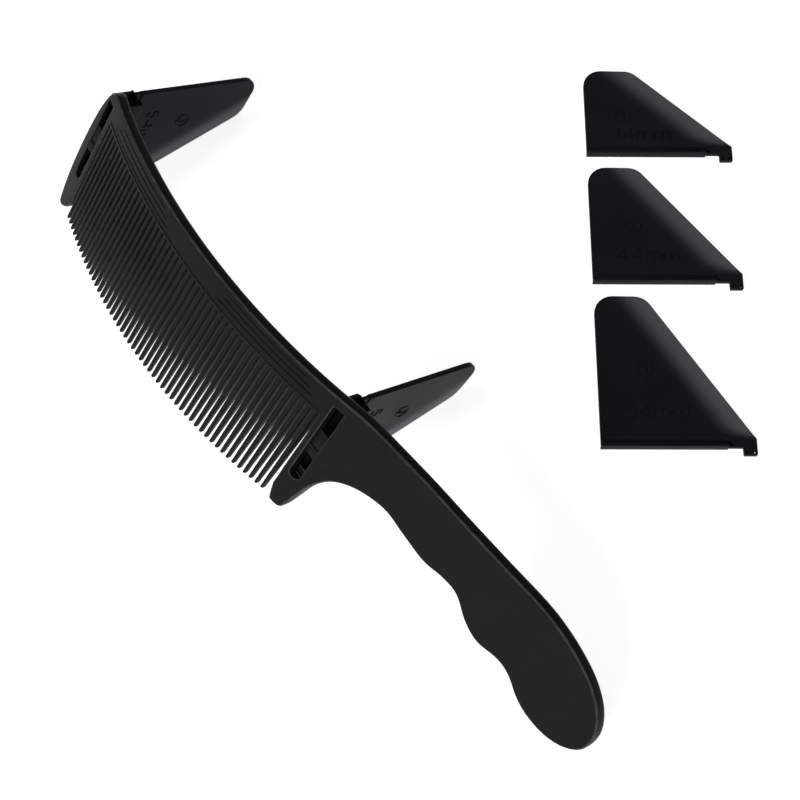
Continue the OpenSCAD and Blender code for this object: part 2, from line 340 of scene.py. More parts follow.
def bead(path: np.ndarray, half_width: float, height: float, sides: int = 8) -> Shell:
    """Carries an ellipse along a flat path, closed to a point at both ends.

    The ellipse's half width follows sqrt(1 - u^2) over the last half width of the path, where u
    runs from 0 to 1 towards the end, so the bead ends in a half round.

    Args:
        path: points (n, 2) of the path, in x and y.
        half_width: half the bead's width, across the path.
        height: how far it stands above the face.
        sides: sides of the ellipse.

    Returns:
        The shell, with its third coordinate measured up from the face.
    """
    run = np.concatenate([[0], np.cumsum(np.linalg.norm(np.diff(path, axis=0), axis=1))])
    ends = half_width * (1 - np.cos(np.linspace(0, math.pi / 2, 4)))
    inner = run[(run > half_width) & (run < run[-1] - half_width)]
    at = np.concatenate([ends, inner, (run[-1] - ends)[::-1]])
    spine = np.stack([np.interp(at, run, path[:, i]) for i in range(2)], 1)
    heading = np.gradient(spine, axis=0)
    heading = heading / np.maximum(1e-9, np.linalg.norm(heading, axis=1, keepdims=True))
    across = np.stack([-heading[:, 1], heading[:, 0]], 1)
    u = np.clip(1 - np.minimum(at, run[-1] - at) / half_width, 0, 1)
    size = np.sqrt(np.maximum(1 - u ** 2, 1e-4))
    turn = np.arange(sides) * 2 * math.pi / sides
    flat = spine[:, None] + across[:, None] * (half_width * size[:, None] * np.cos(turn))[..., None]
    up = height * size[:, None] * np.sin(turn)
    points = np.concatenate([flat, up[..., None]], 2).reshape(-1, 3)
    rows = len(at)
    caps = [tuple(range(sides)), tuple(range((rows - 1) * sides, rows * sides))]
    return Shell(points, [*map(tuple, grid_faces(rows, sides).tolist()), *caps],
                 np.zeros(rows * sides))


# ---------------------------------------------------------------- sizes


@dataclass(frozen=True)
class CombSizes:
    """Sizes of the comb, as the part's source names them, in millimetres and degrees."""

    plate_span: float = 129.0
    blade_r: float = 195.0
    blade_t: float = 4.3
    spine_overhang: float = 0.8
    line_w: float = 0.5
    line_depth: float = 0.35
    line_pitch: float = 2.1
    line_from: float = 1.2
    line_count: int = 3
    line_len: float = 44.0
    line_step: float = 2.3
    line_break: float = 27.0
    tooth_pitch: float = 2.43
    tooth_w: float = 1.35
    tooth_tip_t: float = 1.6
    root_far: float = 7.7
    root_near: float = 9.3
    tip_reach: float = 51.3
    tip_line_r: float = 1000.0
    tip_crest: float = 9.5
    guard_in: float = 4.0
    slot_w: float = 4.0
    slot_from: float = 3.0
    slot_to: float = 36.4
    bridge_from: float = 15.0
    bridge_to: float = 25.0
    bridge_recess: float = 1.2
    rail_wall: float = 1.55
    base_gap: float = 3.2
    rail_from: float = 2.4
    side_clear: float = 0.15
    flange_clear: float = 0.3
    slide_clear: float = 0.1
    stop_clear: float = 0.1
    foot_clear: float = 0.25
    stop_wall: float = 0.6
    handle_len: float = 117.2
    handle_slope: float = 11.5
    bend_r: float = 60.0
    bend_from: float = 3.3
    far_reach: float = 6.1

    @property
    def half_span(self) -> float:
        """Distance from the middle of the blade to a fitted plate."""
        return self.plate_span / 2

    @property
    def face_depth(self) -> float:
        """How far the front face lies in front of a fitted plate's base, at that plate."""
        return self.base_gap + self.blade_t / math.cos(math.asin(self.half_span / self.blade_r))

    @property
    def axis_z(self) -> float:
        """Height of the blade's axis over the plates' bases."""
        return math.sqrt(self.blade_r ** 2 - self.half_span ** 2) - self.face_depth

    @property
    def bay_edge(self) -> float:
        """Distance from the middle of the blade to a guard's tooth-side edge."""
        return self.half_span - self.guard_in

    def blade_height(self, x: np.ndarray, depth: np.ndarray) -> np.ndarray:
        """Gives the height of the surface that lies depth behind the front face, over x.

        It is an arc of radius blade_r - depth about the blade's axis, then an arc of radius
        bend_r + depth about the bend's axis, then a line at the handle's slope.

        Args:
            x: places along the comb.
            depth: distances behind the front face.

        Returns:
            Heights, in the comb's axes.
        """
        slope = math.radians(self.handle_slope)
        angle = math.asin((self.half_span + self.bend_from) / self.blade_r)
        reach = self.blade_r + self.bend_r
        bend_x, bend_z = reach * math.sin(angle), self.axis_z - reach * math.cos(angle)
        arc, bend = self.blade_r - depth, self.bend_r + depth
        line_x = bend_x - bend * math.sin(slope)
        on_arc = self.axis_z - np.sqrt(np.maximum(arc ** 2 - x ** 2, 0))
        on_bend = bend_z + np.sqrt(np.maximum(bend ** 2 - (x - bend_x) ** 2, 0))
        on_line = bend_z + bend * math.cos(slope) + (x - line_x) * math.tan(slope)
        return np.where(x <= arc * math.sin(angle), on_arc, np.where(x <= line_x, on_bend, on_line))


@dataclass(frozen=True)
class PlateSizes:
    """Sizes of a spacer plate, as the part's source names them, in millimetres."""

    fitted_h: float = 54.0
    loose_h: tuple[float, ...] = (34.0, 44.0, 54.0)
    plate_base: float = 50.0
    plate_top: float = 16.7
    corner_r: float = 6.2
    toe_h: float = 3.0
    plate_t: float = 1.8
    neck_t: float = 1.2
    neck_h: float = 1.7
    flange_h: float = 1.3
    groove_len: float = 41.0
    groove_r: float = 1.5
    foot_from: float = 45.5
    loose_x: float = 18.5
    loose_y: float = 124.5
    loose_turn: float = 55.1
    loose_gap: float = 5.0

    @property
    def neck_top(self) -> float:
        """Height of the neck's upper edge over the plate's base."""
        return self.flange_h + self.neck_h


COMB = CombSizes()
PLATE = PlateSizes()
FLANGE_W = COMB.slot_w - 2 * COMB.flange_clear
FOOT_DROP = (COMB.base_gap - COMB.foot_clear
             - PLATE.plate_t / 2 * COMB.half_span / math.sqrt(COMB.blade_r ** 2 - COMB.half_span ** 2))


@dataclass(frozen=True)
class CombAxes:
    """The comb's axes in the frame: a 4 by 4 matrix from millimetres to the frame's metres."""

    matrix: np.ndarray

    @classmethod
    def from_frame(cls, record: dict) -> "CombAxes":
        """Reads the axes from the record: +Y is the fitted plates' way out of their rails.

        The origin follows from the edge that the far plate rests on, whose middle is a mount.

        Args:
            record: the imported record.

        Returns:
            The axes.
        """
        joint = next(j for j in record["behaviour"]["joints"] if j["name"] == "far_plate_slide")
        rest = next(m for m in record["mounts"] if m["name"] == "far_rest_edge")
        along, down = np.array([1.0, 0.0, 0.0]), np.array(joint["axis"], float)
        turn = np.stack([along, down, np.cross(along, down)], 1)
        middle = np.array([-COMB.half_span, (PLATE.plate_top + PLATE.plate_base) / 2,
                           (PLATE.fitted_h + PLATE.toe_h) / 2])
        matrix = np.eye(4)
        matrix[:3, :3] = turn * MM
        matrix[:3, 3] = np.array(rest["pos_m"]) - turn @ middle * MM
        return cls(matrix)

    def place(self, x: np.ndarray, y: np.ndarray, z: np.ndarray) -> np.ndarray:
        """Turns points of the comb's axes into the frame's metres."""
        return np.stack([x, y, z], 1) @ self.matrix[:3, :3].T + self.matrix[:3, 3]


def shift(x: float, y: float, z: float) -> np.ndarray:
    """Makes a 4 by 4 matrix that moves by (x, y, z)."""
    made = np.eye(4)
    made[:3, 3] = x, y, z
    return made


def turned(angle: float, axis: str) -> np.ndarray:
    """Makes a 4 by 4 matrix that turns by an angle in radians about axis X, Y or Z."""
    return np.array(Matrix.Rotation(angle, 4, axis))


# ---------------------------------------------------------------- finishes


def socket_group(name: str, inputs: dict[str, tuple[str, float | tuple]],
                 outputs: dict[str, str]) -> bpy.types.NodeTree:
    """Starts a shader node group with its sockets and its two end nodes.

    Args:
        name: the group's name.
        inputs: socket type and default value, by socket name.
        outputs: socket type by socket name.

    Returns:
        The group.
    """
    group = bpy.data.node_groups.new(name, "ShaderNodeTree")
    for label, (kind, value) in inputs.items():
        made = group.interface.new_socket(label, in_out="INPUT", socket_type=kind)
        if kind != "NodeSocketVector":
            made.default_value = value
    for label, kind in outputs.items():
        group.interface.new_socket(label, in_out="OUTPUT", socket_type=kind)
    group.nodes.new("NodeGroupInput")
    group.nodes.new("NodeGroupOutput")
    return group


@dataclass
class Wiring:
    """Adds nodes to a tree and joins them, so that a chain reads as one call per node."""

    tree: bpy.types.NodeTree

    def node(self, kind: str, settings: dict[str, object] | None = None,
             **sockets: object) -> bpy.types.Node:
        """Adds a node, sets its properties, and fills or joins its input sockets.

        Args:
            kind: the node's type name.
            settings: properties of the node.
            sockets: a value or an output socket for each input, by name with _ for a space; a
                name like n1 is the input of that number.

        Returns:
            The node.
        """
        made = self.tree.nodes.new(kind)
        for key, value in (settings or {}).items():
            setattr(made, key, value)
        for key, value in sockets.items():
            target = made.inputs[int(key[1:]) if key[1:].isdigit() else key.replace("_", " ")]
            if isinstance(value, bpy.types.NodeSocket):
                self.tree.links.new(value, target)
            else:
                target.default_value = value
        return made

    def sum_of(self, operation: str, a: object, b: object = 0.0, c: object = 0.0) -> bpy.types.NodeSocket:
        """Adds a Math node and returns its output."""
        return self.node("ShaderNodeMath", {"operation": operation}, n0=a, n1=b, n2=c).outputs[0]

    def spread(self, value: object, low: float, high: float, to_low: float,
               to_high: float) -> bpy.types.NodeSocket:
        """Maps a value from one range to another, smoothly, and returns the output."""
        return self.node("ShaderNodeMapRange", {"interpolation_type": "SMOOTHSTEP"}, n0=value, n1=low,
                         n2=high, n3=to_low, n4=to_high).outputs[0]

    def noise(self, vector: object, scale: object, detail: float,
              roughness: float = 0.5) -> bpy.types.NodeSocket:
        """Adds a Noise Texture and returns its value."""
        return self.node("ShaderNodeTexNoise", None, Vector=vector, Scale=scale, Detail=detail,
                         Roughness=roughness).outputs[0]

    def mixed(self, share: object, first: object, second: object) -> bpy.types.NodeSocket:
        """Mixes two colours by a share from 0 to 1 and returns the output."""
        return self.node("ShaderNodeMix", {"data_type": "RGBA"}, n0=share, n6=first, n7=second).outputs[2]


def mould_grain_group() -> bpy.types.NodeTree:
    """Builds the fine grain of a spark-eroded mould: cells of about a grain, over soft flow marks.

    Height is 0.6 noise + 0.4 (1 - distance to a cell's middle). Tone is the same noise mixed with a
    slow drift.
    """
    group = socket_group("mould_grain",
                         {"Vector": ("NodeSocketVector", ()), "Grain": ("NodeSocketFloat", 2600.0),
                          "Flow": ("NodeSocketFloat", 60.0)},
                         {"Height": "NodeSocketFloat", "Tone": "NodeSocketFloat"})
    w = Wiring(group)
    given, out = group.nodes["Group Input"], group.nodes["Group Output"]
    fine = w.noise(given.outputs["Vector"], given.outputs["Grain"], 3.0, 0.6)
    cell = w.node("ShaderNodeTexVoronoi", {"feature": "F1"}, Vector=given.outputs["Vector"],
                  Scale=given.outputs["Grain"]).outputs["Distance"]
    drift = w.noise(given.outputs["Vector"], given.outputs["Flow"], 2.0)
    cells = w.sum_of("MULTIPLY", w.sum_of("SUBTRACT", 1.0, cell), 0.4)
    height = w.sum_of("ADD", w.sum_of("MULTIPLY", fine, 0.6), cells)
    tone = w.sum_of("ADD", w.sum_of("MULTIPLY", fine, 0.35), w.sum_of("MULTIPLY", drift, 0.65))
    group.links.new(height, out.inputs["Height"])
    group.links.new(tone, out.inputs["Tone"])
    return group


def edge_highlight_and_wear_group() -> bpy.types.NodeTree:
    """Builds the painted highlight along rounded edges, also standing for scuffs there: the edge mask, broken
    up by noise at two scales.
    """
    group = socket_group("edge_highlight_and_wear",
                         {"Vector": ("NodeSocketVector", ()), "Edge": ("NodeSocketFloat", 0.0),
                          "Break": ("NodeSocketFloat", 420.0)},
                         {"Mask": "NodeSocketFloat"})
    w = Wiring(group)
    given, out = group.nodes["Group Input"], group.nodes["Group Output"]
    broken = w.noise(given.outputs["Vector"], given.outputs["Break"], 3.0, 0.65)
    coarse = w.spread(broken, 0.32, 0.7, 0.55, 1.0)
    slow = w.spread(w.noise(given.outputs["Vector"], 28.0, 1.0), 0.3, 0.7, 0.6, 1.0)
    edge = w.spread(given.outputs["Edge"], 0.3, 1.0, 0.0, 1.0)
    group.links.new(w.sum_of("MULTIPLY", w.sum_of("MULTIPLY", edge, coarse), slow), out.inputs["Mask"])
    return group


def handling_group() -> bpy.types.NodeTree:
    """Builds soft smears from handling: warped noise, drawn out along one axis, spread softly."""
    group = socket_group("handling", {"Vector": ("NodeSocketVector", ()), "Scale": ("NodeSocketFloat", 45.0)},
                         {"Smear": "NodeSocketFloat"})
    w = Wiring(group)
    given, out = group.nodes["Group Input"], group.nodes["Group Output"]
    drawn = w.node("ShaderNodeMapping", None, Vector=given.outputs["Vector"], Scale=(0.55, 1.0, 1.3),
                   Rotation=(0.4, 0.2, 0.7)).outputs[0]
    bend = w.node("ShaderNodeTexNoise", None, Vector=drawn, Scale=22.0, Detail=2.0).outputs["Color"]
    warped = w.node("ShaderNodeVectorMath", {"operation": "MULTIPLY_ADD"}, n0=bend, n1=(0.02, 0.02, 0.02),
                    n2=drawn).outputs[0]
    smear = w.spread(w.noise(warped, given.outputs["Scale"], 4.0, 0.55), 0.3, 0.8, 0.0, 1.0)
    group.links.new(smear, out.inputs["Smear"])
    return group


@dataclass(frozen=True)
class Finish:
    """A moulded plastic finish: its colour, gloss and grain, a painted highlight along rounded edges broken
    up like scuffs, and a colour painted on lowered faces.
    """

    name: str
    colour: tuple[float, float, float]
    # colour of the painted highlight along rounded edges, also standing for scuffs
    highlighted_and_worn: tuple[float, float, float]
    roughness: float
    specular: float
    grain: float
    grain_height: float
    smear: float
    # strength of that painted edge highlight
    highlight_and_wear: float
    # colour painted on lowered faces: shade in the comb's grooves, a light band on the plates' bevel
    lowered: tuple[float, float, float]

    def material(self, groups: dict[str, bpy.types.NodeTree]) -> bpy.types.Material:
        """Builds the material: colour drifts, lowered faces take the lowered colour (painted shade in the
        comb's grooves, a painted light band on the plates' bevel), rounded edges take a painted highlight
        broken up like scuffs, smears gloss.

        Args:
            groups: the shared node groups by name.

        Returns:
            The material.
        """
        made = bpy.data.materials.new(self.name)
        made.use_nodes = True
        w = Wiring(made.node_tree)
        shader = made.node_tree.nodes["Principled BSDF"]
        shader.inputs["Specular IOR Level"].default_value = self.specular
        where = w.node("ShaderNodeTexCoord").outputs["Object"]
        edge = w.node("ShaderNodeAttribute", {"attribute_name": "edge"}).outputs["Fac"]
        grain = w.node("ShaderNodeGroup", {"node_tree": groups["mould_grain"]}, Vector=where,
                       Grain=self.grain)
        highlight_and_wear = w.node("ShaderNodeGroup", {"node_tree": groups["edge_highlight_and_wear"]}, Vector=where, Edge=edge)
        smear = w.node("ShaderNodeGroup", {"node_tree": groups["handling"]}, Vector=where)
        tone = w.spread(grain.outputs["Tone"], 0.25, 0.75, 0.0, 1.0)
        dark = tuple(c * 0.86 for c in self.colour)
        light = tuple(c * 1.14 for c in self.colour)
        flow = w.mixed(tone, (*dark, 1), (*light, 1))
        # Lowered faces take the lowered colour: painted shade in the comb's fine grooves, a painted light
        # band over the plates' bevel
        low = w.spread(edge, -1.0, 0.0, 1.0, 0.0)
        flow = w.mixed(low, flow, (*self.lowered, 1))
        # Rounded edges take the edge colour: a painted highlight, broken up by noise like scuffs
        highlight_and_wear_share = w.sum_of("MULTIPLY", highlight_and_wear.outputs["Mask"], self.highlight_and_wear)
        colour = w.mixed(highlight_and_wear_share, flow, (*self.highlighted_and_worn, 1))
        rough = w.sum_of("MULTIPLY_ADD", grain.outputs["Tone"], 0.08, self.roughness - 0.04)
        rough = w.sum_of("MULTIPLY_ADD", smear.outputs["Smear"], -self.smear, rough)
        rough = w.sum_of("MULTIPLY_ADD", highlight_and_wear_share, -0.12, rough)
        bump = w.node("ShaderNodeBump", None, Strength=1.0, Distance=self.grain_height,
                      Height=grain.outputs["Height"])
        tree = made.node_tree
        tree.links.new(colour, shader.inputs["Base Color"])
        tree.links.new(rough, shader.inputs["Roughness"])
        tree.links.new(bump.outputs["Normal"], shader.inputs["Normal"])
        return made


# Comb: the second colour is a painted highlight for rounded edges; the last, a little darker than the base,
# is painted shade in the fine grooves.
SATIN_BLACK = Finish("satin_black_plastic", (0.0135, 0.0132, 0.0145), (0.12, 0.119, 0.124), 0.40, 0.035,
                     2600.0, 0.000012, 0.09, 0.75, (0.012, 0.0118, 0.013))
# Plates: the second colour is a painted highlight for rounded edges; the last, ten times the base, paints a
# light band over the bevel.
BLUE_BLACK = Finish("blue_black_plastic", (0.0135, 0.0130, 0.0168), (0.05, 0.049, 0.058), 0.42, 0.03,
                    3200.0, 0.000008, 0.10, 0.3, (0.135, 0.131, 0.143))


# ---------------------------------------------------------------- pieces


def add_piece(name: str, shells: Sequence[Shell], material: bpy.types.Material,
              crease: float = 50.0) -> bpy.types.Object:
    """Puts shells that are already in the frame's metres into one mesh object at the origin.

    Args:
        name: the piece's name.
        shells: its closed shells.
        material: its finish.
        crease: edges that turn by more than this many degrees stay sharp.

    Returns:
        The object.
    """
    shell = Shell.joined(shells)
    mesh = bpy.data.meshes.new(name)
    mesh.from_pydata(shell.points, [], shell.faces)
    work = bmesh.new()
    work.from_mesh(mesh)
    bmesh.ops.recalc_face_normals(work, faces=work.faces)
    work.to_mesh(mesh)
    work.free()
    edge = mesh.attributes.new("edge", "FLOAT", "POINT")
    edge.data.foreach_set("value", shell.edge.astype(np.float32))
    mesh.polygons.foreach_set("use_smooth", np.ones(len(mesh.polygons), bool))
    mesh.set_sharp_from_angle(angle=math.radians(crease))
    mesh.materials.append(material)
    piece = bpy.data.objects.new(name, mesh)
    bpy.context.scene.collection.objects.link(piece)
    LOG.info("%s: %d points, %d faces", name, len(mesh.vertices), len(mesh.polygons))
    return piece


class Digit(Enum):
    """The strokes of a moulded character, in a box 0.6 wide and 1 high: points and arcs.

    A stroke is a list of parts. A part is a point (x, y) or an arc (middle x, middle y, radius,
    first angle, last angle).
    """

    ONE = ("1", 0.45, [[(0.05, 0.78), (0.3, 1.0), (0.3, 0.0)]])
    TWO = ("2", 0.66, [[(0.33, 0.71, 0.28, 165, -35), (0.02, 0.0), (0.66, 0.0)]])
    THREE = ("3", 0.7, [[(0.36, 0.75, 0.25, 150, -80), (0.36, 0.27, 0.28, 80, -150)]])
    FOUR = ("4", 0.86, [[(0.62, 0.0), (0.62, 1.0), (0.0, 0.3), (0.86, 0.3)]])
    FIVE = ("5", 0.7, [[(0.66, 1.0), (0.14, 1.0), (0.08, 0.56), (0.35, 0.31, 0.31, 125, -150)]])
    M = ("m", 1.14, [[(0.0, 0.0), (0.0, 0.68)],
                     [(0.27, 0.42, 0.27, 165, 0), (0.54, 0.0)],
                     [(0.83, 0.42, 0.29, 165, 0), (1.12, 0.0)]])

    @classmethod
    def of(cls, text: str) -> "Digit":
        """Finds the character for one letter of text."""
        return next(d for d in cls if d.value[0] == text)

    @property
    def width(self) -> float:
        """Width of the character, in heights."""
        return self.value[1]

    def strokes(self) -> list[np.ndarray]:
        """Works out the strokes' points, with arcs as middle + radius (cos t, sin t)."""
        made = []
        for parts in self.value[2]:
            rows = []
            for part in parts:
                if len(part) == 2:
                    rows.append(np.array([part], float))
                else:
                    t = np.radians(np.linspace(part[3], part[4], 12))
                    rows.append(np.array(part[:2]) + part[2] * np.stack([np.cos(t), np.sin(t)], 1))
            made.append(np.vstack(rows))
        return made


@dataclass
class TeethRow:
    """The comb's teeth: tapered, rounded, flush with the front face, their sides along Z.

    A tooth is a grid of two parameters, stations along it and points round its section. Half its
    width is tooth_w / 2, plus a quarter round of the gap's radius at the root, and both width and
    thickness close in a half round at the tip.
    """

    sizes: CombSizes = COMB
    corner: float = 0.38
    tip_width: float = 1.1
    buried: float = 2.5
    middle_stations: tuple[float, float] = (0.35, 0.7)
    tip_front: float = 0.28
    tip_back: float = 0.34
    corner_edge: float = 0.6
    face_edge: float = 0.2

    def angles(self) -> np.ndarray:
        """Gives the angle of each tooth along the blade's arc."""
        s = self.sizes
        step = s.tooth_pitch / s.blade_r
        count = math.floor(2 * math.asin(s.bay_edge / s.blade_r) / step)
        return (np.arange(count) - (count - 1) / 2) * step

    def along(self, root: np.ndarray, tip: np.ndarray) -> tuple[np.ndarray, ...]:
        """Works out the stations of every tooth.

        Args:
            root: where each tooth begins.
            tip: where each tooth ends.

        Returns:
            Places along the teeth, half widths, front depths and back depths (teeth, stations).
        """
        s = self.sizes
        flare = (s.tooth_pitch - s.tooth_w) / 2
        turn = np.linspace(0, math.pi / 2, 6)
        cap = s.tooth_w / 2
        ends = cap * (1 - np.sin(turn))[::-1]
        near = flare * (1 - np.cos(turn))
        y = np.concatenate([np.full((len(root), 1), -1.0) * self.buried + root[:, None],
                            root[:, None] + near[None],
                            root[:, None] + np.array(self.middle_stations) * (tip - root)[:, None],
                            tip[:, None] - ends[None, ::-1]], 1)
        t = np.clip((y - root[:, None]) / (tip - root)[:, None], 0, 1)
        inner = np.clip((y - root[:, None]) / flare, 0, 1)
        grown = np.where(y < root[:, None], 0.0, flare * (1 - np.sqrt(1 - (1 - inner) ** 2)))
        left = np.clip((tip[:, None] - y) / cap, 0, 1)
        closing = np.sqrt(np.maximum(1 - (1 - left) ** 2, 0.0025))
        half = ((s.tooth_w + (self.tip_width - s.tooth_w) * t) / 2 + grown) * closing
        back = s.blade_t + (s.tooth_tip_t - s.blade_t) * t
        front = self.tip_front * back * (1 - closing)
        return y, half, front, back - self.tip_back * back * (1 - closing)

    def shell(self) -> Shell:
        """Builds all teeth as one set of arrays, tooth by station by section point."""
        s = self.sizes
        angle = self.angles()
        x = s.blade_r * np.sin(angle)
        root = s.root_far + (s.root_near - s.root_far) * (x + s.bay_edge) / (2 * s.bay_edge)
        tip = s.tip_reach - s.tip_line_r + np.sqrt(s.tip_line_r ** 2 - (x + s.tip_crest) ** 2)
        y, half, front, back = self.along(root, tip)
        corner = np.radians([90, 45, 0])
        bow = self.corner * np.stack([1 - np.cos(corner), 1 - np.sin(corner)], 1)
        side = np.repeat([1, 1, -1, -1], 3)
        depth = np.repeat([0, 1, 1, 0], 3)
        inset = np.vstack([bow, bow[::-1], bow, bow[::-1]])
        share = (half / np.max(half))[..., None]
        across = side * (half[..., None] - inset[:, 0] * np.minimum(1, half[..., None] / self.corner * 0.9)
                         * np.minimum(1, share * 3))
        rise = np.minimum(inset[:, 1], (back - front)[..., None] * 0.45)
        down = np.where(depth == 0, front[..., None] + rise, back[..., None] - rise)
        a = angle[:, None, None]
        points = np.stack([s.blade_r * np.sin(a) + across * np.cos(a),
                           np.broadcast_to(y[..., None], across.shape),
                           s.axis_z - s.blade_r * np.cos(a) + across * np.sin(a) + down / np.cos(a)], -1)
        count, rows, ring = across.shape
        one = grid_faces(rows, ring)
        each = (np.arange(count) * rows * ring)[:, None, None]
        faces = (one[None] + each).reshape(-1, 4).tolist()
        starts = (np.arange(count) * rows * ring)[:, None] + np.arange(ring)
        faces += starts.tolist() + (starts + (rows - 1) * ring).tolist()
        # Edge values for the finish's painted highlight: some on the rounded corners, none on the flat faces
        highlighted_and_worn = np.where(np.arange(ring) % 3 == 1, self.corner_edge, self.face_edge)
        edge = np.broadcast_to(highlighted_and_worn, across.shape)
        return Shell(points.reshape(-1, 3), [tuple(f) for f in faces], edge.ravel())


@dataclass
class CombBody:
    """The comb: one curved strip for spine, guards and handle, and its row of teeth."""

    axes: CombAxes
    finish: bpy.types.Material
    sizes: CombSizes = COMB
    front_round: float = 0.75
    back_round: float = 1.35
    slot_corner: float = 0.35
    line_points: int = 30
    line_fade: float = 2.0
    bead_inset: float = 0.6
    bead_rise: float = 0.75
    bead_half_w: float = 0.5
    bead_height: float = 0.22
    far_points: tuple = ((1, None), (-2, 1.2), (-3.9, 5.8), (-5.3, 12), (-6.1, 22), (-6.1, 32),
                         (-5.3, 42), (-3.7, 50.2), (-2.5, 51.6), (-0.9, 51.4), (1.9, 49.2),
                         (4.1, 45.6), (4, 41))
    near_points: tuple = ((-4, 43.7), (-2.6, 49.2), (-1.4, 50.3), (1.4, 50.3), (2.6, 48.2), (4, 42),
                          (5.9, 34.5), (10.1, 27.2), (17.5, 22), (27.5, 19.5))
    grip_points: tuple = ((80.7, 21.2), (71.1, 23), (63.2, 22.1), (57.2, 23), (50.2, 28.2),
                          (43.7, 30.6), (36.1, 29.6), (30.7, 30.9), (24.4, 35.1), (18.2, 37.4),
                          (10.5, 37.7), (4.2, 35.2), (0.5, 30.2), (0.9, 22.8), (5, 15.6), (11.6, 9.9),
                          (19.4, 6), (28.4, 3.1), (37.8, 1.6), (53, 1.1), (69, 0.4), (85, -0.5),
                          (101, None))

    def control(self, points: Sequence[tuple], start: float, way: int) -> np.ndarray:
        """Places control points along the comb; None stands for the spine's edge."""
        return np.array([(start + way * x, -self.sizes.spine_overhang if y is None else y)
                         for x, y in points], float)

    def outline(self) -> np.ndarray:
        """Works out the strip's outline as the part's source does."""
        s = self.sizes
        far = smooth_curve(np.vstack([[[6.5 - s.half_span, -s.spine_overhang]],
                                      self.control(self.far_points, -s.half_span, 1)]))
        end = s.half_span + s.handle_len
        handle = smooth_curve(np.vstack([self.control(self.near_points, s.half_span, 1),
                                         self.control(self.grip_points, end, -1)]))
        bay = np.array([[-s.bay_edge, s.root_far], [s.bay_edge, s.root_near]])
        return resampled(anticlockwise(np.vstack([far, bay, handle])), 1.2)

    def slot(self, x: float) -> np.ndarray:
        """Works out the slot through a guard: square at the spine, half round at the tip end."""
        s = self.sizes
        half = s.slot_w / 2
        corners = [(x - half, s.slot_from), (x + half, s.slot_from),
                   (x + half, s.slot_to), (x - half, s.slot_to)]
        return resampled(rounded(corners, (0.3, 0.3, half - 0.01, half - 0.01), 6), 1.0)

    def spine_lines(self) -> tuple[np.ndarray, list[np.ndarray], Callable]:
        """Lays out the fine lines: their points, their chains, and how deep they lie.

        A line is a groove whose depth falls as 1 - (d / w)^2 from its middle, d being the distance
        across and w half its width, and fades over its last line_fade.
        """
        s = self.sizes
        rows = []
        for side in (-1, 1):
            for k in range(s.line_count):
                short = s.line_step * (s.line_count - 1 - k)
                span = np.linspace(s.line_break / 2 + short, s.line_break / 2 + s.line_len - short,
                                   self.line_points)
                rows.append((s.blade_r * np.sin(side * span / s.blade_r), s.line_from + k * s.line_pitch))
        steps = np.array([-0.5, -0.25, 0, 0.25, 0.5]) * s.line_w
        points = np.vstack([np.column_stack([x, np.full(len(x), y + step)])
                            for x, y in rows for step in steps])
        chains = list(np.arange(len(points)).reshape(-1, self.line_points))
        middles = np.array([y for _, y in rows])
        starts, ends = np.array([[x.min(), x.max()] for x, _ in rows]).T

        # The comb finish paints these grooves slightly darker: painted shade.
        def depth(x: np.ndarray, y: np.ndarray) -> np.ndarray:
            """Sums the depth of every line at (x, y)."""
            off = np.clip(np.abs(y[:, None] - middles) / (s.line_w / 2), 0, 1)
            end = np.clip(np.minimum(x[:, None] - starts, ends - x[:, None]) / self.line_fade, 0, 1)
            return s.line_depth * np.sum((1 - off ** 2) * np.sqrt(end), 1)

        return points, chains, depth

    def strip(self) -> Shell:
        """Builds spine, guards and handle."""
        s = self.sizes
        points, chains, depth = self.spine_lines()
        plate = MouldedPlate(self.outline(), s.blade_t, self.front_round, self.back_round,
                             holes=[self.slot(-s.half_span), self.slot(s.half_span)],
                             hole_round=self.slot_corner, extra=points, lines=chains, relief=depth)
        return plate.shell(lambda x, y, d: self.axes.place(x, y, s.blade_height(x, d)))

    def root_bead(self) -> Shell:
        """Lays a low bead along the line where the teeth begin."""
        s = self.sizes
        x = np.linspace(-s.bay_edge + self.bead_inset, s.bay_edge - self.bead_inset, 90)
        root = s.root_far + (s.root_near - s.root_far) * (x + s.bay_edge) / (2 * s.bay_edge)
        made = bead(np.stack([x, root - self.bead_rise], 1), self.bead_half_w, self.bead_height, 10)
        return made.moved(lambda x, y, up: self.axes.place(x, y, s.blade_height(x, -up)))

    def build(self) -> bpy.types.Object:
        """Builds the comb's moulding, dresses it and puts it on the comb's body."""
        piece = add_piece("comb_moulding", [self.strip(), self.root_bead()], self.finish)
        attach(piece, "comb")
        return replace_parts(piece, "comb_body")

    def build_teeth(self) -> bpy.types.Object:
        """Builds the row of teeth."""
        teeth = TeethRow(self.sizes).shell().moved(self.axes.place)
        piece = add_piece("comb_teeth", [teeth], self.finish, 60.0)
        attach(piece, "comb")
        return piece


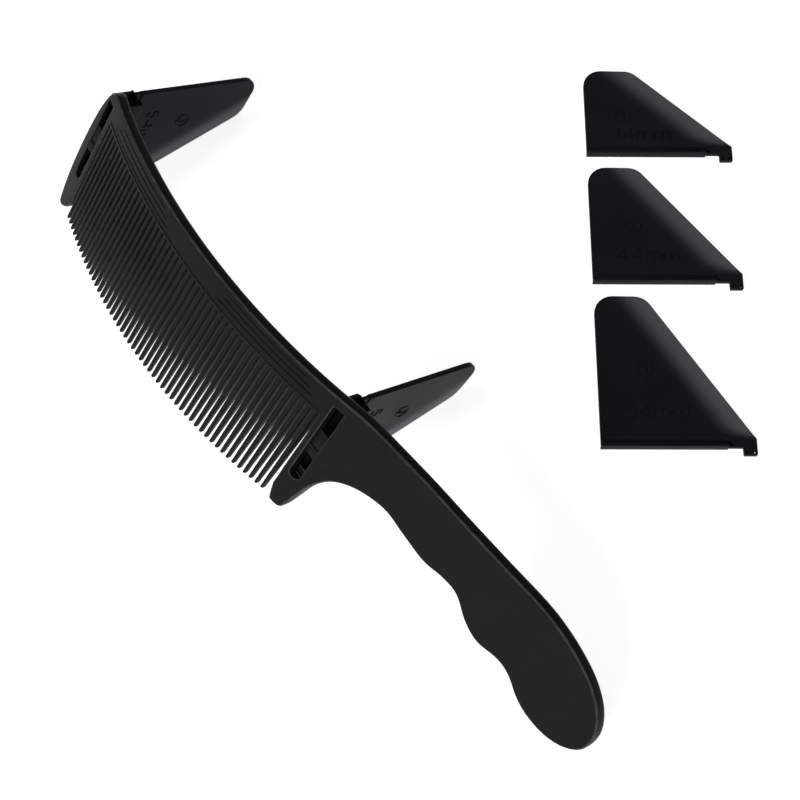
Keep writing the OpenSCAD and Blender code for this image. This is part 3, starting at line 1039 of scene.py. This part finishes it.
@dataclass
class GuardRail:
    """The T-slot rail behind a guard, with the floor blocks, the bridge and the ledge in its slot."""

    name: str
    x: float
    axes: CombAxes
    finish: bpy.types.Material
    sizes: CombSizes = COMB
    corner: float = 0.4
    ledge_len: float = 2.6
    ledge_recess: float = 3.4
    step_len: float = 2.7
    step_rise: float = 0.5

    @property
    def top(self) -> float:
        """Height of the lips over the plate's base."""
        return PLATE.neck_top - self.sizes.slide_clear

    @property
    def sunk(self) -> float:
        """How far the rail goes down, to the middle of the blade."""
        return self.sizes.base_gap + self.sizes.blade_t / 2

    def bar(self, profile: Sequence[tuple[float, float]], radii: float | Sequence[float],
            start: float, end: float, round_end: float = 0.3) -> Shell:
        """Carries a profile of x and height from start to end along the rail, with rounded ends."""
        loop = rounded(profile, radii, 3)
        plate = MouldedPlate(loop, end - start, round_end, round_end, spacing=50.0, support=0.05, rim_steps=3)
        return plate.shell(lambda x, z, d: self.axes.place(self.x + x, start + d, z))

    def block(self, half: float, low: float, high: float, start: float, end: float,
              corner: float = 0.25) -> Shell:
        """Builds a rounded block across the rail."""
        return self.bar([(-half, low), (half, low), (half, high), (-half, high)], corner, start, end, corner)

    def shells(self) -> list[Shell]:
        """Builds both lips, the floor between the slot's openings, the bridge and the ledge."""
        s = self.sizes
        half, lip = s.slot_w / 2, PLATE.neck_t / 2 + s.side_clear
        wall, chamber = half + s.rail_wall, PLATE.flange_h + s.slide_clear
        to = PLATE.groove_len - PLATE.groove_r - s.stop_clear
        stop = PLATE.foot_from - s.stop_clear
        lips = [self.bar([(side * half, -self.sunk), (side * wall, -self.sunk), (side * wall, self.top),
                          (side * lip, self.top), (side * lip, chamber), (side * half, chamber)],
                         (0.1, 0.1, self.corner, 0.15, 0.12, 0.12), s.rail_from, to) for side in (-1, 1)]
        floor = -s.slide_clear
        front = -s.face_depth
        buried = half + 0.25
        return [*lips,
                self.block(buried, -self.sunk, floor, s.rail_from, s.slot_from + 0.15, 0.1),
                self.block(buried, front + s.bridge_recess, floor,
                           s.bridge_from, s.bridge_to - self.step_len),
                self.block(buried, front + s.bridge_recess - self.step_rise, floor,
                           s.bridge_to - self.step_len - 0.4, s.bridge_to),
                self.block(buried, front + self.ledge_recess, floor,
                           s.slot_to - self.ledge_len, s.slot_to + 0.3),
                self.block(half + s.stop_wall, -self.sunk, floor, s.slot_to - 0.6, stop, 0.3)]

    def build(self) -> bpy.types.Object:
        """Builds the rail and puts it on the comb's body."""
        piece = add_piece(self.name, self.shells(), self.finish)
        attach(piece, "comb")
        return piece


@dataclass
class SpacerPlate:
    """A spacer plate: its body, the neck and flange that run in a rail, and its moulded marks."""

    node: str
    name: str
    body: str
    height: float
    number: str
    matrix: np.ndarray
    finish: bpy.types.Material
    sizes: PlateSizes = PLATE
    edge_round: float = 0.28
    lead_in: float = 1.1
    bevel_w: float = 11.0
    bevel_depth: float = 0.34
    ring_r: float = 2.6
    mark_height: float = 0.24
    mark_half_width: float = 0.27
    ring_at: tuple[float, float] = (13.2, 15.0)
    text_at: tuple[float, float] = (18.8, 5.6)
    text_h: float = 4.5
    text_gap: float = 0.95
    number_h: float = 2.7
    ring_drift: tuple[float, float] = (0.11, 0.6)
    text_drift: float = 0.21

    def place(self, a: np.ndarray, h: np.ndarray, across: np.ndarray) -> np.ndarray:
        """Turns points of the plate's own axes into the frame's metres."""
        return np.stack([a, h, across], 1) @ self.matrix[:3, :3].T + self.matrix[:3, 3]

    def slab(self, corners: Sequence[tuple[float, float]], radii: float | Sequence[float],
             thickness: float, rim: float, relief: Callable | None = None) -> Shell:
        """Builds a flat piece of the plate, centred across it."""
        loop = resampled(rounded(corners, radii, 6), 1.5)
        plate = MouldedPlate(loop, thickness, rim, rim, spacing=2.2, support=min(0.25, rim), rim_steps=3,
                             relief=relief)
        return plate.shell(lambda a, h, d: self.place(a, h, thickness / 2 - d))

    def bevel(self, a: np.ndarray, h: np.ndarray) -> np.ndarray:
        """Lowers the marked face towards the sloping edge: depth u^2 (3 - 2 u), u = 1 on the edge."""
        # The plate finish paints this lowered band far lighter than the face: a painted reflection.
        p = self.sizes
        run, rise = p.plate_base - p.plate_top, self.height - p.toe_h
        inward = ((p.plate_base - a) * rise - (h - p.toe_h) * run) / math.hypot(run, rise)
        u = np.clip(1 - inward / self.bevel_w, 0, 1) * np.clip((h - 2) / 4, 0, 1)
        return self.bevel_depth * u ** 2 * (3 - 2 * u)

    def shells(self) -> list[Shell]:
        """Builds body, neck and flange."""
        p = self.sizes
        body = self.slab([(0, p.neck_top), (p.groove_len, p.neck_top), (p.groove_len, 0), (p.foot_from, 0),
                          (p.foot_from, -FOOT_DROP), (p.plate_base, -FOOT_DROP), (p.plate_base, p.toe_h),
                          (p.plate_top, self.height), (0, self.height)],
                         (0.15, p.groove_r, 0.2, 0.2, 0.35, 0.4, 0.5, p.corner_r, p.corner_r),
                         p.plate_t, self.edge_round, self.bevel)
        run = p.groove_len + 0.6
        neck = self.slab([(0, 0.3), (run, 0.3), (run, p.neck_top + 0.6), (0, p.neck_top + 0.6)],
                         0.1, p.neck_t, 0.05)
        flange = self.slab([(0, 0.0), (p.groove_len, 0), (p.groove_len, p.flange_h),
                            (self.lead_in, p.flange_h), (0, p.flange_h * 0.55)],
                           (0.2, 0.2, 0.2, 0.3, 0.2), FLANGE_W, 0.22)
        return [body, neck, flange]

    def marks(self) -> Shell:
        """Builds the ring with its number and the height in millimetres, as raised beads."""
        rise = self.height - min(self.sizes.loose_h)
        middle = np.array(self.ring_at) + np.array(self.ring_drift) * rise
        t = np.linspace(0, 2 * math.pi, 49)
        ring = bead(middle + self.ring_r * np.stack([np.cos(t), np.sin(t)], 1), self.mark_half_width,
                    self.mark_height)
        beads = [ring, *self.written(self.number, middle - [0.0, self.number_h / 2], self.number_h)]
        foot = np.array([self.text_at[0], self.text_at[1] + self.text_drift * rise])
        beads += self.written(f"{self.height:.0f}mm", foot, self.text_h)
        made = Shell.joined(beads)
        return made.moved(lambda a, h, up: self.place(a, h, self.sizes.plate_t / 2 + up))

    def written(self, text: str, foot: np.ndarray, high: float) -> list[Shell]:
        """Writes text in beads, centred on foot.

        Args:
            text: characters of Digit.
            foot: the middle of the line that they stand on.
            high: their height.

        Returns:
            A shell for each stroke.
        """
        digits = [Digit.of(c) for c in text]
        widths = np.array([d.width for d in digits]) * high
        left = foot[0] - (widths.sum() + self.text_gap * (len(text) - 1)) / 2
        starts = left + np.cumsum(np.concatenate([[0], widths[:-1] + self.text_gap]))
        return [bead(stroke * high + [start, foot[1]], self.mark_half_width, self.mark_height)
                for digit, start in zip(digits, starts) for stroke in digit.strokes()]

    def build(self) -> bpy.types.Object:
        """Builds the plate and puts it on its body."""
        piece = add_piece(self.name, [*self.shells(), self.marks()], self.finish)
        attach(piece, self.body)
        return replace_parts(piece, self.node)


def fitted_matrix(axes: CombAxes, x: float) -> np.ndarray:
    """Places a plate in the rail at x: its base along +Y, its height along +Z."""
    own = np.array([[0, 0, 1, x], [1, 0, 0, 0], [0, 1, 0, 0], [0, 0, 0, 1]], float)
    return axes.matrix @ own


def loose_matrix(axes: CombAxes, i: int) -> np.ndarray:
    """Places loose plate i on the table, lying on its flange and its top edge."""
    p = PLATE
    tilt = math.atan2((FLANGE_W - p.plate_t) / 2, p.loose_h[i] - p.flange_h)
    row = sum(p.loose_gap + h for h in p.loose_h[1:i + 1])
    low = COMB.axis_z - COMB.blade_r
    lean = math.atan2(p.plate_base - p.plate_top, p.fitted_h - p.toe_h)
    low_y = low * math.cos(lean) - COMB.tip_reach * math.sin(lean)
    turn = math.radians(p.loose_turn)
    high_y = p.loose_y + p.plate_base * math.sin(turn) + p.toe_h * math.cos(turn)
    middle = ((COMB.handle_len - COMB.far_reach) / 2, (low_y + high_y) / 2)
    made = (shift(p.loose_x - middle[0], p.loose_y - middle[1], 0) @ turned(turn, "Z")
            @ shift(0, p.flange_h - row, 0) @ turned(-tilt, "X") @ shift(0, -p.flange_h, FLANGE_W / 2))
    return np.diag([MM, MM, MM, 1]) @ made


# ---------------------------------------------------------------- studio


@dataclass(frozen=True)
class SoftLight:
    """A large square lamp that faces the comb."""

    name: str
    place: tuple[float, float, float]
    size: float
    power: float
    target: tuple[float, float, float] = (0.0, -0.03, 0.02)

    def build(self) -> None:
        """Adds the lamp, turned towards its target."""
        lamp = bpy.data.lights.new(self.name, "AREA")
        lamp.shape = "SQUARE"
        lamp.size = self.size
        lamp.energy = self.power
        made = bpy.data.objects.new(self.name, lamp)
        made.location = self.place
        made.rotation_euler = (Vector(self.target) - Vector(self.place)).to_track_quat("-Z", "Y").to_euler()
        bpy.context.scene.collection.objects.link(made)


@dataclass(frozen=True)
class Studio:
    """The pale table, the dim surroundings, the lamps and the camera."""

    azimuth: float = 54.01
    elevation: float = 67.15
    roll: float = 1.185
    distance: float = 0.53747
    target: tuple[float, float, float] = (0.00766, -0.04681, 0.020)
    lens: float = 77.72
    sensor: float = 36.0
    table_size: float = 24.0
    table_tone: float = 0.9
    table_glow: float = 0.85
    table_mottle: float = 0.01
    table_rough: float = 0.9
    surround: float = 0.04
    lights: tuple[SoftLight, ...] = (
        SoftLight("key", (0.42, -1.28, 0.92), 0.6, 15.0),
        SoftLight("top", (-0.42, -0.24, 1.2), 0.16, 0.8),
        SoftLight("back", (-0.45, 0.75, 1.1), 0.4, 1.6),
    )

    def build_camera(self) -> None:
        """Adds the camera, which looks at its target from an azimuth and elevation, then rolls."""
        data = bpy.data.cameras.new("camera")
        data.lens = self.lens
        data.sensor_width = self.sensor
        data.clip_start, data.clip_end = 0.01, 20.0
        camera = bpy.data.objects.new("camera", data)
        a, e = math.radians(self.azimuth), math.radians(self.elevation)
        back = Vector((math.sin(a) * math.cos(e), -math.cos(a) * math.cos(e), math.sin(e)))
        turn = (-back).to_track_quat("-Z", "Y").to_matrix() @ Matrix.Rotation(math.radians(self.roll), 3, "Z")
        camera.matrix_world = Matrix.Translation(Vector(self.target) + back * self.distance) @ turn.to_4x4()
        bpy.context.scene.collection.objects.link(camera)
        bpy.context.scene.camera = camera

    def build_table(self) -> None:
        """Adds the table: a pale plane with a faint mottle."""
        half = self.table_size / 2
        mesh = bpy.data.meshes.new("table")
        corners = [(-half, -half, 0), (half, -half, 0), (half, half, 0), (-half, half, 0)]
        mesh.from_pydata(corners, [], [(0, 1, 2, 3)])
        table = bpy.data.objects.new("table", mesh)
        bpy.context.scene.collection.objects.link(table)
        material = bpy.data.materials.new("pale_table")
        material.use_nodes = True
        w = Wiring(material.node_tree)
        shader = material.node_tree.nodes["Principled BSDF"]
        shader.inputs["Emission Strength"].default_value = self.table_glow
        shader.inputs["Emission Color"].default_value = (1, 1, 1, 1)
        shader.inputs["Roughness"].default_value = self.table_rough
        shader.inputs["Specular IOR Level"].default_value = 0.1
        where = w.node("ShaderNodeTexCoord").outputs["Object"]
        tone = w.spread(w.noise(where, 9.0, 3.0), 0.3, 0.7, self.table_tone - self.table_mottle,
                        self.table_tone)
        grey = w.node("ShaderNodeCombineColor", None, n0=tone, n1=tone, n2=tone).outputs[0]
        material.node_tree.links.new(grey, shader.inputs["Base Color"])
        mesh.materials.append(material)

    def build_surround(self) -> None:
        """Lights the scene faintly from all round and shows colours as they are."""
        world = bpy.data.worlds.new("surround")
        world.use_nodes = True
        world.node_tree.nodes["Background"].inputs["Color"].default_value = (1, 1, 1, 1)
        world.node_tree.nodes["Background"].inputs["Strength"].default_value = self.surround
        bpy.context.scene.world = world
        bpy.context.scene.view_settings.view_transform = "Standard"

    def build(self) -> None:
        """Builds the whole studio."""
        self.build_camera()
        self.build_table()
        self.build_surround()
        for light in self.lights:
            light.build()


def main() -> None:
    """Builds the comb, its rails and its plates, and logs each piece."""
    logging.basicConfig(level=logging.INFO, format="%(name)s: %(message)s")
    groups = {g.name: g for g in (mould_grain_group(), edge_highlight_and_wear_group(), handling_group())}
    comb_finish, plate_finish = SATIN_BLACK.material(groups), BLUE_BLACK.material(groups)
    axes = CombAxes.from_frame(frame["record"])
    Studio().build()
    comb = CombBody(axes, comb_finish)
    comb.build()
    comb.build_teeth()
    for name, x in (("far_rail", -COMB.half_span), ("near_rail", COMB.half_span)):
        GuardRail(name, x, axes, comb_finish).build()
    for side, x in (("far", -COMB.half_span), ("near", COMB.half_span)):
        SpacerPlate(f"{side}_guard_plate", f"{side}_plate", f"{side}_plate", PLATE.fitted_h, "3",
                    fitted_matrix(axes, x), plate_finish).build()
    for i, high in enumerate(PLATE.loose_h):
        SpacerPlate(f"loose_plate_{high:.0f}", f"loose_{high:.0f}", f"loose_{high:.0f}", high, str(i + 1),
                    loose_matrix(axes, i), plate_finish).build()


if __name__ == "__main__":
    main()
